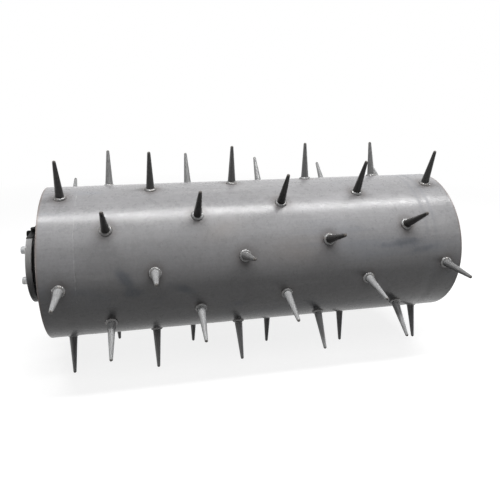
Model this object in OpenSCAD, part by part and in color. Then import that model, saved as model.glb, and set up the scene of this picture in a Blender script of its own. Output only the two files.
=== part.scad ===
// Lawn aerator roller: a steel drum with turned spikes that rolls freely on a fixed axle.
// X runs along the axle, -Y faces the viewer and +Z is up. The origin is on the axle at mid-length.
// Both ends are alike. They are drawn outwards from the drum's end and mirrored for the left side.

/* [Drum] */
// Outside diameter of the drum shell
drum_d = 324; // [300:2:360]
// Length of the drum shell
drum_len = 885; // [875:5:960]
// Wall thickness of the drum shell
shell_wall = 5; // [4:0.5:8]
// Distance from the shell's end to the outer face of the bulkhead
bulkhead_inset = 63; // [58:1:80]
// Thickness of each bulkhead
bulkhead_thick = 8; // [6:1:12]
// Leg of the fillet weld between bulkhead and shell
rim_weld_leg = 6; // [4:0.5:8]
// Leg of the fillet weld between bulkhead and bearing hub
hub_weld_leg = 5; // [3:0.5:6]

/* [Spikes] */
// Distance from one ring of spikes to the next
ring_pitch = 90; // [80:1:92]
// Spikes in each ring
spikes_per_ring = 5; // [3:1:6]
// Turn of each ring against the one before it, in degrees
ring_turn = 40; // [0:1:72]
// Angle of the first spike of the left ring above the front, in degrees
first_spike_turn = 70.7; // [0:0.1:360]
// Height of a spike above the shell
spike_h = 83; // [60:1:110]
// Diameter of a spike at its foot
spike_foot_d = 18; // [14:0.5:20]
// Diameter of a spike at its rounded tip
spike_tip_d = 7.4; // [5:0.2:9]
// Diameter of the shank that fills the hole in the shell
shank_d = 12; // [9:0.5:13]
// Height of the weld bead at a spike's foot
bead_h = 4.4; // [3:0.2:5.4]
// Width of the weld bead at a spike's foot
bead_w = 4.2; // [3:0.2:5]

/* [Axle] */
// Diameter of the axle between its two journals
axle_d = 50; // [46:1:56]
// Diameter of the spacer sleeve that the seal runs on
spacer_d = 48; // [46:0.5:49]
// Thread diameter of the screw in the axle's end
end_screw_d = 16; // [12:1:18]
// Width of the end screw's hexagon across its flats
end_screw_af = 24; // [20:1:27]
// Height of the end screw's head
end_screw_head_h = 9; // [7:0.5:9.5]
// Length of the end screw's shank inside the axle
end_screw_len = 32; // [20:1:45]
// Depth of the tapped hole past the end screw
tap_runout = 4; // [2:1:10]
// Diameter of the washer under the end screw
end_washer_d = 46; // [43:0.5:48]
// Thickness of the washer under the end screw
end_washer_t = 5; // [3:0.5:6]
// Distance of the end screw's head behind the spigot's face
head_setback = 2; // [1:0.5:3]
// Gap between the axle's end and the washer
journal_setback = 1; // [0.5:0.5:2]

/* [Bearing] */
// Bore of the bearing and diameter of the axle's journals
journal_d = 40; // [36:1:42]
// Outside diameter of the bearing
bearing_d = 80; // [78:1:90]
// Width of the bearing
bearing_w = 18; // [17:1:22]
// Distance of the bearing's middle inboard of the bulkhead's middle
bearing_offset = 1; // [0:0.5:3]
// Diameter of a ball
ball_d = 12; // [11:0.5:12.5]
// Balls in each bearing
ball_count = 9; // [7:1:9]
// Distance from the ball centres' circle down to the inner ring's land
inner_shoulder = 3.65; // [3.5:0.05:4]
// Distance from the ball centres' circle up to the outer ring's land
ring_shoulder = 4.65; // [4.4:0.05:4.9]
// Radial thickness of the ball cage
cage_wall = 4.4; // [4:0.1:5]
// Thickness of the cage's web behind the balls
cage_web = 1; // [0.8:0.1:1.2]
// Thickness of a bearing shield
shield_t = 0.8; // [0.6:0.1:1]
// Depth of a shield below the ring's face
shield_setback = 0.4; // [0.2:0.1:0.5]
// Depth of a shield's seat in the outer ring
shield_seat = 0.85; // [0.5:0.05:1]
// Gap between a shield and the inner ring
shield_gap = 0.6; // [0.3:0.1:1]
// Thickness of the retaining ring
retainer_t = 2.5; // [2:0.1:3]
// Depth of the retaining ring's groove
retainer_depth = 1.75; // [1.2:0.05:2.5]
// Height of the retaining ring inside the hub's bore
retainer_lip = 3.5; // [2.5:0.1:5]
// Opening between the retaining ring's ends
retainer_opening = 10; // [6:1:20]
// Width of the shaft seal
seal_w = 8; // [6:0.5:10]
// Space between the retaining ring and the seal
seal_space = 3; // [1:0.5:4]
// Thickness of the seal's outer rim
seal_rim = 4; // [3:0.5:5]
// Thickness of the seal's lip
seal_lip = 3; // [2:0.5:4]
// Length of the seal's hollow back
seal_hollow = 4.8; // [2:0.1:5]

/* [Bearing hub] */
// Outside diameter of the bearing hub
bearing_hub_d = 110; // [104:1:120]
// Thickness of the shoulder behind the bearing
hub_shoulder = 9; // [6:0.5:12]
// Bore of the shoulder behind the bearing
hub_shoulder_d = 68; // [60:1:72]
// Depth of the seal's face in the hub
seal_setback = 1; // [0.5:0.5:2]

/* [Carrier] */
// Diameter of the carrier's flange
carrier_d = 164; // [150:1:166]
// Thickness of the carrier's flange
carrier_t = 12.5; // [10:0.5:16]
// Diameter of the carrier's neck
neck_d = 90; // [76:1:96]
// Leg of the cone between the neck and the flange, across the axle
cone_rise = 11; // [6:1:14]
// Leg of the cone between the neck and the flange, along the axle
cone_run = 8; // [4:1:12]
// Length of the carrier's bore on the journal
carrier_bore_len = 33; // [28:1:38]
// Distance of the carrier's flat below the mounting flange's flat
carrier_flat_drop = 2; // [1:0.5:4]
// Diameter of the spigot that centres the mounting flange
spigot_d = 60; // [58:1:62]
// Length of the spigot
spigot_len = 6; // [4:0.5:7]
// Diameter of the recess for the end screw and its washer
recess_d = 50; // [49:0.5:52]
// Width of the key
key_w = 12; // [8:1:14]
// Height of the key
key_h = 8; // [7:0.5:9]
// Depth of the key in the axle
key_sunk = 4.8; // [4:0.1:5.5]
// Length of the key
key_len = 25; // [18:1:26]

/* [Mounting flange] */
// Diameter of the mounting flange
flange_d = 168; // [164:1:180]
// Thickness of the mounting flange at its rim
flange_t = 12; // [12:0.5:16]
// Clear gap between the drum's end and the mounting flange
flange_gap = 24; // [20:1:30]
// Height of the flat on the mounting flange above the axis
flat_h = 69; // [68:0.5:78]
// Diameter of the circle of flange screws
screw_circle_d = 125; // [125:0.5:132]
// Number of flange screws
screw_count = 6; // [4:1:6]
// Angle of the first flange screw above the front, in degrees
screw_turn = 45; // [40:1:48]
// Thread diameter of a flange screw
screw_d = 10; // [8:1:10]
// Diameter of a flange screw's head
screw_head_d = 16; // [13:0.5:16]
// Height of a flange screw's head
screw_head_h = 10; // [8:0.5:12]
// Width of the socket in a flange screw's head
screw_socket_af = 8; // [6:0.5:9]
// Distance of a flange screw's end from the carrier's back
screw_end_gap = 2; // [1:0.5:6]
// Thickness of the lock washer under a flange screw
lock_washer_t = 2.6; // [2:0.1:3]
// Width of the split in a lock washer
washer_split = 1.4; // [1:0.1:2]

/* [Keeper] */
// Thickness of the keeper bar on the flat
bar_t = 2; // [1.5:0.5:4]
// Distance of the keeper bar's ends from the flange's rim
bar_margin = 0.5; // [0.5:0.5:5]
// Thread diameter of the keeper screw
keeper_screw_d = 8; // [6:0.5:9]
// Diameter of the keeper screw's head
keeper_head_d = 13; // [10:0.5:15]
// Height of the keeper screw's head
keeper_head_h = 8; // [6:0.5:10]
// Width of the socket in the keeper screw's head
keeper_socket_af = 6.5; // [5:0.5:7]
// Length of the keeper screw in the mounting flange
keeper_screw_len = 14; // [8:0.5:15]

/* [Mounting interface] */
// Diameter of the raised pad that takes the machine's arm
pad_d = 108; // [106:0.5:108]
// Height of the pad over the flange
pad_h = 2; // [1:0.5:4]
// Diameter of the pilot bore
pilot_d = 72; // [66:0.5:74]
// Depth of the pilot bore
pilot_depth = 8; // [5:0.5:8]
// Diameter of the circle of tapped mounting holes
mount_circle_d = 90; // [88:0.5:92]
// Number of tapped mounting holes
mount_count = 4; // [3:1:4]
// Angle of the first mounting hole above the front, in degrees
mount_turn = 45; // [35:1:55]
// Diameter of a tapped mounting hole
mount_hole_d = 10.2; // [8:0.1:10.5]
// Depth of a mounting hole in the carrier behind the flange
mount_hole_run = 8; // [4:0.5:10]

/* [Edges] */
// Broken edge of the bearing hub
hub_edge = 1.5; // [0.5:0.5:3]
// Broken edge of the axle's ends
journal_edge = 1; // [0.5:0.5:2]
// Broken edge of the carrier
carrier_edge = 2; // [0.5:0.5:4]
// Broken edge of the mounting flange
flange_edge = 1; // [0.5:0.5:3]
// Broken edge of the pad
pad_edge = 0.5; // [0.2:0.1:1]
// Broken edge of a screw's head
head_edge = 0.8; // [0.4:0.1:1.5]

/* [Fits] */
// Gap round a piece that is pressed, welded or screwed in place
seat_gap = 0.02; // [0.01:0.01:0.05]
// Gap round a ball in its raceways and in its cage
ball_gap = 0.15; // [0.1:0.01:0.25]
// Gap between a turning rim and the fixed piece it runs on
lip_gap = 0.1; // [0.05:0.01:0.1]
// Clearance of a screw in a plain hole
screw_clearance = 0.5; // [0.2:0.1:0.7]

/* [Hidden] */
$fn = 72;
// Facets of the cylinders that stand for the shell's surface
shell_fn = 360;
// How far a cutting shape reaches past what it cuts
cut = 1;
// How far joined shapes of one piece run into each other
lap = 2;

ring_count = 10;
drum_r = drum_d / 2;
shell_bore_r = drum_r - shell_wall;
ring_x0 = -ring_pitch * (ring_count - 1) / 2;
tip_r = spike_tip_d / 2;
cone_h = spike_h - tip_r;

// Distances along the axle are measured outwards from the drum's end.
bulkhead_out = -bulkhead_inset;
bulkhead_in = bulkhead_out - bulkhead_thick;
bearing_mid = (bulkhead_out + bulkhead_in) / 2 - bearing_offset;
bearing_out = bearing_mid + bearing_w / 2;
bearing_in = bearing_mid - bearing_w / 2;
retainer_out = bearing_out + retainer_t;
seal_in = retainer_out + seal_space;
seal_out = seal_in + seal_w;
hub_out = seal_out + seal_setback;
hub_in = bearing_in - hub_shoulder;
flange_in = flange_gap;
flange_out = flange_in + flange_t;
pad_out = flange_out + pad_h;
pilot_floor = pad_out - pilot_depth;
spigot_out = flange_in + spigot_len;
carrier_in = flange_in - carrier_t;
end_washer_in = spigot_out - end_screw_head_h - end_washer_t - head_setback;
neck_in = end_washer_in - carrier_bore_len;
journal_out = end_washer_in - journal_setback;
key_mid = (neck_in + journal_out) / 2;
key_floor = journal_d / 2 - key_sunk;

// Radii of the bearing's parts
pitch_r = (journal_d + bearing_d) / 4;
ball_r = ball_d / 2;
groove_r = ball_r + ball_gap;
inner_land_r = pitch_r - inner_shoulder;
outer_land_r = pitch_r + ring_shoulder;
shield_seat_r = outer_land_r + shield_seat;
shield_seat_depth = shield_t + shield_setback;
shield_bore_r = inner_land_r + shield_gap;
cage_back = ball_r + cage_web;
cage_front = ball_r / 2;

carrier_flat_h = flat_h - carrier_flat_drop;
bar_len = 2 * sqrt(pow(flange_d / 2, 2) - pow(flat_h, 2)) - 2 * bar_margin;
keeper_x = (flange_in + flange_out) / 2;

module right_end() {
  translate([drum_len / 2, 0, 0]) children();
}

module left_end() {
  mirror([1, 0, 0]) right_end() children();
}

// A round bar along the axle between two places
module bar_x(d, from, to) {
  translate([from, 0, 0]) rotate([0, 90, 0]) cylinder(d = d, h = to - from);
}

module ring_x(d, bore, from, to) {
  difference() {
    bar_x(d, from, to);
    bar_x(bore, from - cut, to + cut);
  }
}

// A round bar along the axle with both edges broken
module chamfered_x(d, from, to, edge) {
  translate([from, 0, 0])
    rotate([0, 90, 0])
      rotate_extrude()
        polygon([[0, 0], [d / 2 - edge, 0], [d / 2, edge], [d / 2, to - from - edge],
                 [d / 2 - edge, to - from], [0, to - from]]);
}

// Turns its children from straight up to an angle above the front
module around(angle) {
  rotate([90 - angle, 0, 0]) children();
}

// Copies its children round the axle, at a distance from it
module polar(count, first, radius) {
  for (i = [0 : count - 1]) around(first + i * 360 / count) translate([0, 0, radius]) children();
}

module at_flange_screws() {
  polar(screw_count, screw_turn, screw_circle_d / 2) children();
}

module at_mounting_holes() {
  polar(mount_count, mount_turn, mount_circle_d / 2) children();
}

// Copies its children to the spikes of one ring, where z = 0 is on the axle
module at_spikes(ring) {
  translate([ring_x0 + ring * ring_pitch, 0, 0])
    polar(spikes_per_ring, first_spike_turn + ring * ring_turn, 0) children();
}

// The part of the shell's surface that a spike or a bead sits on
module shell_surface() {
  rotate([0, 90, 0])
    cylinder(r = drum_r + seat_gap, h = spike_foot_d * 3, center = true, $fn = shell_fn);
}

module spike_cone() {
  translate([0, 0, drum_r])
    rotate_extrude()
      polygon([[0, -lap], [spike_foot_d / 2, -lap], [spike_foot_d / 2, 0], [tip_r, cone_h],
               [0, cone_h]]);
}

module spike() {
  difference() {
    union() {
      spike_cone();
      translate([0, 0, drum_r + cone_h]) sphere(r = tip_r);
    }
    shell_surface();
  }
  translate([0, 0, shell_bore_r]) cylinder(d = shank_d, h = shell_wall + lap);
}

module spike_ring(ring) {
  color("lightslategray") at_spikes(ring) spike();
}

// Radius of a spike at a height above the shell
function spike_r(h) = spike_foot_d / 2 - (spike_foot_d / 2 - tip_r) * h / cone_h;

// A convex bead round the spike's foot, lying on the shell. Its outline is in shares of its size.
module weld_bead() {
  in_r = spike_foot_d / 2 + seat_gap;
  difference() {
    translate([0, 0, drum_r])
      rotate_extrude()
        polygon([[in_r, -lap], [in_r + bead_w, -lap], [in_r + bead_w, 0.2 * bead_h],
                 [in_r + 0.75 * bead_w, 0.65 * bead_h], [in_r + 0.35 * bead_w, 0.93 * bead_h],
                 [spike_r(bead_h) + seat_gap, bead_h], [in_r, 0]]);
    shell_surface();
  }
}

module spike_welds() {
  color("gray") for (ring = [0 : ring_count - 1]) at_spikes(ring) weld_bead();
}

module drum_shell() {
  color("silver") difference() {
    ring_x(drum_d, 2 * shell_bore_r, -drum_len / 2, drum_len / 2);
    for (ring = [0 : ring_count - 1])
      at_spikes(ring)
        translate([0, 0, shell_bore_r - lap])
          cylinder(d = shank_d + 2 * seat_gap, h = shell_wall + 2 * lap);
  }
}

module bulkhead() {
  color("darkgray")
    ring_x(2 * (shell_bore_r - seat_gap), bearing_hub_d + 2 * seat_gap, bulkhead_in, bulkhead_out);
}

// Fillet welds on the outer face, at the shell and at the bearing hub
module bulkhead_welds() {
  color("dimgray") translate([bulkhead_out, 0, 0]) rotate([0, 90, 0]) {
    rotate_extrude()
      polygon([[shell_bore_r - seat_gap, seat_gap], [shell_bore_r - seat_gap, rim_weld_leg],
               [shell_bore_r - rim_weld_leg, seat_gap]]);
    rotate_extrude()
      polygon([[bearing_hub_d / 2 + seat_gap, seat_gap],
               [bearing_hub_d / 2 + hub_weld_leg, seat_gap],
               [bearing_hub_d / 2 + seat_gap, hub_weld_leg]]);
  }
}

module bearing_hub() {
  color("slategray") difference() {
    chamfered_x(bearing_hub_d, hub_in, hub_out, hub_edge);
    bar_x(bearing_d + 2 * seat_gap, bearing_in - seat_gap, hub_out + cut);
    bar_x(hub_shoulder_d, hub_in - cut, hub_out);
    bar_x(bearing_d + 2 * retainer_depth, bearing_out + seat_gap, retainer_out + 2 * seat_gap);
  }
}

// The ball track of a bearing ring
module raceway() {
  translate([bearing_mid, 0, 0])
    rotate([0, 90, 0])
      rotate_extrude() translate([pitch_r, 0]) circle(r = groove_r);
}

module bearing_outer_ring() {
  color("lightgray") difference() {
    ring_x(bearing_d, 2 * outer_land_r, bearing_in, bearing_out);
    bar_x(2 * shield_seat_r, bearing_in - cut, bearing_in + shield_seat_depth);
    bar_x(2 * shield_seat_r, bearing_out - shield_seat_depth, bearing_out + cut);
    raceway();
  }
}

module bearing_inner_ring() {
  color("lightgray") difference() {
    ring_x(2 * inner_land_r, journal_d + 2 * seat_gap, bearing_in, bearing_out);
    raceway();
  }
}

module bearing_shield(from) {
  ring_x(2 * (shield_seat_r - seat_gap), 2 * shield_bore_r, from, from + shield_t);
}

module bearing_shields() {
  color("dimgray") {
    bearing_shield(bearing_in + shield_setback - seat_gap);
    bearing_shield(bearing_out - shield_seat_depth + seat_gap);
  }
}

module balls() {
  color("gainsboro") translate([bearing_mid, 0, 0]) polar(ball_count, 0, pitch_r) sphere(r = ball_r);
}

// A crown cage: a ring at one side of the balls, with a round pocket for each
module ball_cage() {
  color("goldenrod") translate([bearing_mid, 0, 0]) difference() {
    ring_x(2 * pitch_r + cage_wall, 2 * pitch_r - cage_wall, -cage_back, cage_front);
    polar(ball_count, 0, pitch_r) sphere(r = groove_r);
  }
}

// An open spring ring in the hub's groove
module retaining_ring() {
  color("dimgray") difference() {
    ring_x(bearing_d + 2 * retainer_depth - 2 * seat_gap, bearing_d - 2 * retainer_lip,
           bearing_out + 2 * seat_gap, retainer_out);
    translate([bearing_out - cut, -retainer_opening / 2, -bearing_d])
      cube([retainer_t + 2 * cut, retainer_opening, bearing_d]);
  }
}

module shaft_seal() {
  color("#222222") difference() {
    ring_x(bearing_d, spacer_d + 2 * lip_gap, seal_in, seal_out);
    ring_x(bearing_d - 2 * seal_rim, spacer_d + 2 * seal_lip, seal_in - cut, seal_in + seal_hollow);
  }
}

module axle() {
  color("silver") difference() {
    union() {
      bar_x(axle_d, -drum_len / 2 - bearing_in, drum_len / 2 + bearing_in);
      chamfered_x(journal_d, -drum_len / 2 - journal_out, drum_len / 2 + journal_out, journal_edge);
    }
    for (side = [0, 1]) mirror([side, 0, 0]) right_end() {
      bar_x(end_screw_d + 2 * seat_gap, journal_out - end_screw_len - tap_runout, journal_out + cut);
      translate([key_mid - key_len / 2 - seat_gap, -key_w / 2 - seat_gap, key_floor])
        cube([key_len + 2 * seat_gap, key_w + 2 * seat_gap, key_h]);
    }
  }
}

module axle_key() {
  color("dimgray") translate([key_mid - key_len / 2, -key_w / 2, key_floor + seat_gap])
    cube([key_len, key_w, key_h]);
}

module spacer_sleeve() {
  color("lightgray") ring_x(spacer_d, journal_d + 2 * seat_gap, bearing_out, neck_in);
}

// Cone between the carrier's neck and its flange
module neck_cone() {
  translate([carrier_in - cone_run, 0, 0])
    rotate([0, 90, 0]) cylinder(d1 = neck_d, d2 = neck_d + 2 * cone_rise, h = cone_run + seat_gap);
}

// What the keyway takes out of the carrier's bore
module keyway() {
  translate([neck_in - cut, -key_w / 2 - seat_gap, 0])
    cube([carrier_bore_len + 2 * cut, key_w + 2 * seat_gap, key_floor + key_h + 2 * seat_gap]);
}

module carrier() {
  color("#1c1c1e") difference() {
    union() {
      chamfered_x(carrier_d, carrier_in, flange_in, carrier_edge);
      chamfered_x(neck_d, neck_in, flange_in - cut, carrier_edge);
      bar_x(spigot_d - 2 * seat_gap, flange_in - cut, spigot_out);
      neck_cone();
    }
    bar_x(journal_d + 2 * seat_gap, neck_in - cut, spigot_out);
    bar_x(recess_d, end_washer_in, spigot_out + cut);
    keyway();
    translate([carrier_in - cut, -flange_d, carrier_flat_h])
      cube([carrier_t + cut, 2 * flange_d, flange_d]);
    at_flange_screws() bar_x(screw_d + 2 * seat_gap, carrier_in - cut, flange_in + cut);
    at_mounting_holes() bar_x(mount_hole_d, flange_in - mount_hole_run, flange_in + cut);
  }
}

module mounting_flange() {
  color("lightgray") difference() {
    union() {
      chamfered_x(flange_d, flange_in, flange_out, flange_edge);
      chamfered_x(pad_d, flange_out - lap, pad_out, pad_edge);
    }
    bar_x(spigot_d, flange_in - cut, flange_out);
    bar_x(pilot_d, pilot_floor, pad_out + cut);
    translate([flange_in - cut, -flange_d, flat_h])
      cube([flange_t + 2 * cut, 2 * flange_d, flange_d]);
    at_flange_screws() bar_x(screw_d + 2 * screw_clearance, flange_in - cut, flange_out + cut);
    at_mounting_holes() bar_x(mount_hole_d, flange_in - cut, pad_out + cut);
    translate([keeper_x, 0, flat_h - keeper_screw_len - cut])
      cylinder(d = keeper_screw_d + 2 * seat_gap, h = keeper_screw_len + 2 * cut);
  }
}

// A spring washer, split on the side away from the axle
module lock_washer() {
  difference() {
    ring_x(screw_head_d, screw_d + 2 * screw_clearance, flange_out, flange_out + lock_washer_t);
    translate([flange_out - cut, -washer_split / 2, 0])
      cube([lock_washer_t + 2 * cut, washer_split, screw_head_d]);
  }
}

module lock_washers() {
  color("gainsboro") at_flange_screws() lock_washer();
}

// A socket head screw along X, with its head's underside at x = 0
module socket_screw(thread_d, shank_len, head_d, head_h, socket_af) {
  difference() {
    union() {
      chamfered_x(head_d, 0, head_h, head_edge);
      bar_x(thread_d, -shank_len, cut);
    }
    translate([head_h / 2, 0, 0])
      rotate([0, 90, 0]) cylinder(d = socket_af / cos(30), h = head_h, $fn = 6);
  }
}

module flange_screws() {
  color("gainsboro") at_flange_screws()
    translate([flange_out + lock_washer_t, 0, 0])
      socket_screw(screw_d, lock_washer_t + flange_t + carrier_t - screw_end_gap, screw_head_d,
                   screw_head_h, screw_socket_af);
}

module keeper_bar() {
  color("#222222") difference() {
    translate([flange_in, -bar_len / 2, flat_h]) cube([flange_t, bar_len, bar_t]);
    translate([keeper_x, 0, flat_h - cut])
      cylinder(d = keeper_screw_d + 2 * screw_clearance, h = bar_t + 2 * cut);
  }
}

module keeper_screw() {
  color("#222222") translate([keeper_x, 0, flat_h + bar_t])
    rotate([0, -90, 0])
      socket_screw(keeper_screw_d, bar_t + keeper_screw_len, keeper_head_d, keeper_head_h,
                   keeper_socket_af);
}

module end_washer() {
  color("gainsboro")
    ring_x(end_washer_d, end_screw_d + 2 * screw_clearance, end_washer_in,
           end_washer_in + end_washer_t);
}

module end_screw() {
  color("gainsboro") {
    translate([end_washer_in + end_washer_t, 0, 0])
      rotate([0, 90, 0]) cylinder(d = end_screw_af / cos(30), h = end_screw_head_h, $fn = 6);
    bar_x(end_screw_d, journal_out - end_screw_len, end_washer_in + end_washer_t + cut);
  }
}

drum_shell();
spike_ring(0);  // spike_ring_01
spike_ring(1);  // spike_ring_02
spike_ring(2);  // spike_ring_03
spike_ring(3);  // spike_ring_04
spike_ring(4);  // spike_ring_05
spike_ring(5);  // spike_ring_06
spike_ring(6);  // spike_ring_07
spike_ring(7);  // spike_ring_08
spike_ring(8);  // spike_ring_09
spike_ring(9);  // spike_ring_10
spike_welds();
left_end() bulkhead();  // left_bulkhead
right_end() bulkhead();  // right_bulkhead
left_end() bulkhead_welds();  // left_bulkhead_welds
right_end() bulkhead_welds();  // right_bulkhead_welds
left_end() bearing_hub();  // left_bearing_hub
right_end() bearing_hub();  // right_bearing_hub
left_end() bearing_outer_ring();  // left_bearing_outer_ring
right_end() bearing_outer_ring();  // right_bearing_outer_ring
left_end() bearing_shields();  // left_bearing_shields
right_end() bearing_shields();  // right_bearing_shields
left_end() retaining_ring();  // left_retaining_ring
right_end() retaining_ring();  // right_retaining_ring
left_end() shaft_seal();  // left_shaft_seal
right_end() shaft_seal();  // right_shaft_seal
left_end() balls();  // left_balls
right_end() balls();  // right_balls
left_end() ball_cage();  // left_ball_cage
right_end() ball_cage();  // right_ball_cage
axle();
left_end() bearing_inner_ring();  // left_bearing_inner_ring
right_end() bearing_inner_ring();  // right_bearing_inner_ring
left_end() spacer_sleeve();  // left_spacer_sleeve
right_end() spacer_sleeve();  // right_spacer_sleeve
left_end() axle_key();  // left_axle_key
right_end() axle_key();  // right_axle_key
left_end() carrier();  // left_carrier
right_end() carrier();  // right_carrier
left_end() end_washer();  // left_end_washer
right_end() end_washer();  // right_end_washer
left_end() end_screw();  // left_end_screw
right_end() end_screw();  // right_end_screw
left_end() mounting_flange();  // left_mounting_flange
right_end() mounting_flange();  // right_mounting_flange
left_end() lock_washers();  // left_lock_washers
right_end() lock_washers();  // right_lock_washers
left_end() flange_screws();  // left_flange_screws
right_end() flange_screws();  // right_flange_screws
left_end() keeper_bar();  // left_keeper_bar
right_end() keeper_bar();  // right_keeper_bar
left_end() keeper_screw();  // left_keeper_screw
right_end() keeper_screw();  // right_keeper_screw
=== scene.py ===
# %% [markdown]
# # A lawn aerator roller
# This roller is a steel drum on a fixed axle, with fifty turned spikes welded through its shell.
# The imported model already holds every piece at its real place, in metres. Here we give each piece the
# finish of the real one, and replace sixteen by finer surfaces worked out with numpy.

# %% Load the frame
import math

import bpy
import numpy as np
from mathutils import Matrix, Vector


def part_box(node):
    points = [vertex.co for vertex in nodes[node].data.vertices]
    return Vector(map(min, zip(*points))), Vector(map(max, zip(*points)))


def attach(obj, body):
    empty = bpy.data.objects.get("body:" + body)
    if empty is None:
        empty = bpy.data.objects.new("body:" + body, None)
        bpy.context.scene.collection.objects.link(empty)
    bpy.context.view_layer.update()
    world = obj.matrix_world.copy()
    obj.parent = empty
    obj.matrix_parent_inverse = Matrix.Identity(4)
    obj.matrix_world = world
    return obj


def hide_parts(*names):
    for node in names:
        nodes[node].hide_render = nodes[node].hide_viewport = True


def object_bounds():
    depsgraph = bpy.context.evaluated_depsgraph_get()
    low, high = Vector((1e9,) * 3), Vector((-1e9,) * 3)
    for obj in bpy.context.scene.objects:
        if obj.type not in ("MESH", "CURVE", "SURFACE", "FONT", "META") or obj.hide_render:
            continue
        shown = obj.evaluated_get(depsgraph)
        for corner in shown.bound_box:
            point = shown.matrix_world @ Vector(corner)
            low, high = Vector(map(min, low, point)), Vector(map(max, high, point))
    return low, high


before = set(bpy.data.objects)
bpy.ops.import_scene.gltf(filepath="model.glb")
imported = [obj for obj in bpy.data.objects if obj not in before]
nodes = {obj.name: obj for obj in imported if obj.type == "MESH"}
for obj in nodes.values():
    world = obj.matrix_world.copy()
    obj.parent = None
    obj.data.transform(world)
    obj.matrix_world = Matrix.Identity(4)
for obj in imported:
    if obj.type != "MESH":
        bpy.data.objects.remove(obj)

cad_low, cad_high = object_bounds()
print("CAD box from", [round(c, 4) for c in cad_low], "to", [round(c, 4) for c in cad_high])

# %% [markdown]
# ## The camera
# The photograph looks a little down on the roller, from its left. A constraint could aim the camera,
# but two written angles are easier to compare with the photograph. The small shift stands for a
# picture that was cropped off its middle.

# %% Camera
CAMERA_PLACE = (-0.2398, -1.0154, 0.3577)
CAMERA_TURN = 11.14     # degrees to the right of straight ahead
CAMERA_DIP = 14.54      # degrees below the horizon
CAMERA_LENS = 33.49     # millimetres, on a sensor 36 mm wide
CAMERA_SHIFT = (0.034, -0.074)


def add_object(name, data):
    """Makes an object that holds a camera, a mesh or a lamp, and links it to the scene."""
    made = bpy.data.objects.new(name, data)
    bpy.context.scene.collection.objects.link(made)
    return made


def add_camera():
    """The camera looks along -Z of its own axes, so a tilt of 90 degrees points it at the horizon."""
    data = bpy.data.cameras.new("camera")
    data.lens = CAMERA_LENS
    data.sensor_width = 36
    data.shift_x, data.shift_y = CAMERA_SHIFT
    camera = add_object("camera", data)
    camera.location = CAMERA_PLACE
    camera.rotation_euler = (math.radians(90 - CAMERA_DIP), 0, math.radians(-CAMERA_TURN))
    bpy.context.scene.camera = camera
    return camera


print("camera:", add_camera().name)

# %% [markdown]
# ## Sizes read from the frame
# The finer pieces have to sit where the CAD pieces sit. Their sizes could be typed in again, but sizes
# read from the CAD meshes stay right when that model changes. An angle round the axle is counted from
# the side that faces the viewer, up over the top.

# %% Read a node
MM = 0.001              # a millimetre in metres
RINGS = 10
SPIKES = 5
TIP_ZONE = 4 * MM       # corners this close to the tips give a ring's turn
TIP_TRIM = 0.02 * MM    # keeps the new tips inside the box of the CAD tips


def corner_array(piece):
    """The corners of a mesh as an array of shape (corners, 3)."""
    corners = piece.data.vertices
    flat = np.empty(3 * len(corners))
    corners.foreach_get("co", flat)
    return flat.reshape(-1, 3)


def circle(count):
    """Even angles round a full turn, without the last, which is the first again."""
    return np.linspace(0, 2 * np.pi, count, endpoint=False)


def axle_distance(points):
    """Distance of each point from the axle, the square root of y squared plus z squared."""
    return np.hypot(points[..., 1], points[..., 2])


def start_turn(points, repeats):
    """Angle at which a pattern round the axle starts: each direction is multiplied by the number of
    repeats, so that they all coincide, and the mean is divided again."""
    angle = np.arctan2(points[:, 2], -points[:, 1])
    return np.angle(np.exp(1j * repeats * angle).mean()) / repeats


def ring_place(name):
    """A ring's place, halfway between its ends along the axle, and the turn at which it starts."""
    points = corner_array(nodes[name])
    reach = axle_distance(points)
    tips = points[reach > reach.max() - TIP_ZONE]
    return (points[:, 0].min() + points[:, 0].max()) / 2, start_turn(tips, SPIKES)


# %% Read the sizes
shell_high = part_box("drum_shell")[1]
drum_r = shell_high.z
drum_half = shell_high.x
shell_bore_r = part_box("left_bulkhead")[1].z
ring_names = [f"spike_ring_{number + 1:02d}" for number in range(RINGS)]
ring_x, ring_turn = np.array([ring_place(name) for name in ring_names]).T
ring_points = corner_array(nodes[ring_names[-1]])
foot_r = (ring_points[:, 0].max() - ring_points[:, 0].min()) / 2
spike_h = axle_distance(ring_points).max() - drum_r - TIP_TRIM
spike_x = np.repeat(ring_x, SPIKES)
spike_turn = (ring_turn[:, None] + circle(SPIKES)).ravel()
bead_r = ring_x[0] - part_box("spike_welds")[0].x
bead_h = axle_distance(corner_array(nodes["spike_welds"])).max() - drum_r
print(f"drum radius {drum_r:.4f}, half length {drum_half:.4f}, bore {shell_bore_r:.4f}")
print(f"spike foot {foot_r:.4f}, height {spike_h:.4f}, bead {bead_r:.4f} by {bead_h:.4f}")
print("rings start at", np.degrees(ring_turn).round(1), "degrees")

# %% [markdown]
# ## One way to make every surface
# All new pieces are closed surfaces on a grid: columns go round and rows go along. A sphere or a tube
# could come from Blender's own primitives, but a grid of points from a formula can carry ripples,
# dents and knurls, and its UV map tells a material how far round and how far along it is.

# %% Faces of a grid
def grid_faces(rows, columns, ring):
    """Corner numbers and UV places of the quads of a grid. Corner (i, j) has the number
    i * columns + j, and column numbers wrap. On a ring the last row joins the first."""
    steps = rows if ring else rows - 1
    i, j = np.meshgrid(np.arange(steps), np.arange(columns), indexing="ij")
    corners = [(i, j), (i, j + 1), (i + 1, j + 1), (i + 1, j)]
    quads = np.stack([(a % rows) * columns + b % columns for a, b in corners], -1)
    places = np.stack([np.stack([b / columns, a / steps], -1) for a, b in corners], -2)
    return quads.reshape(-1, 4), places.reshape(-1, 4, 2)


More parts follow.
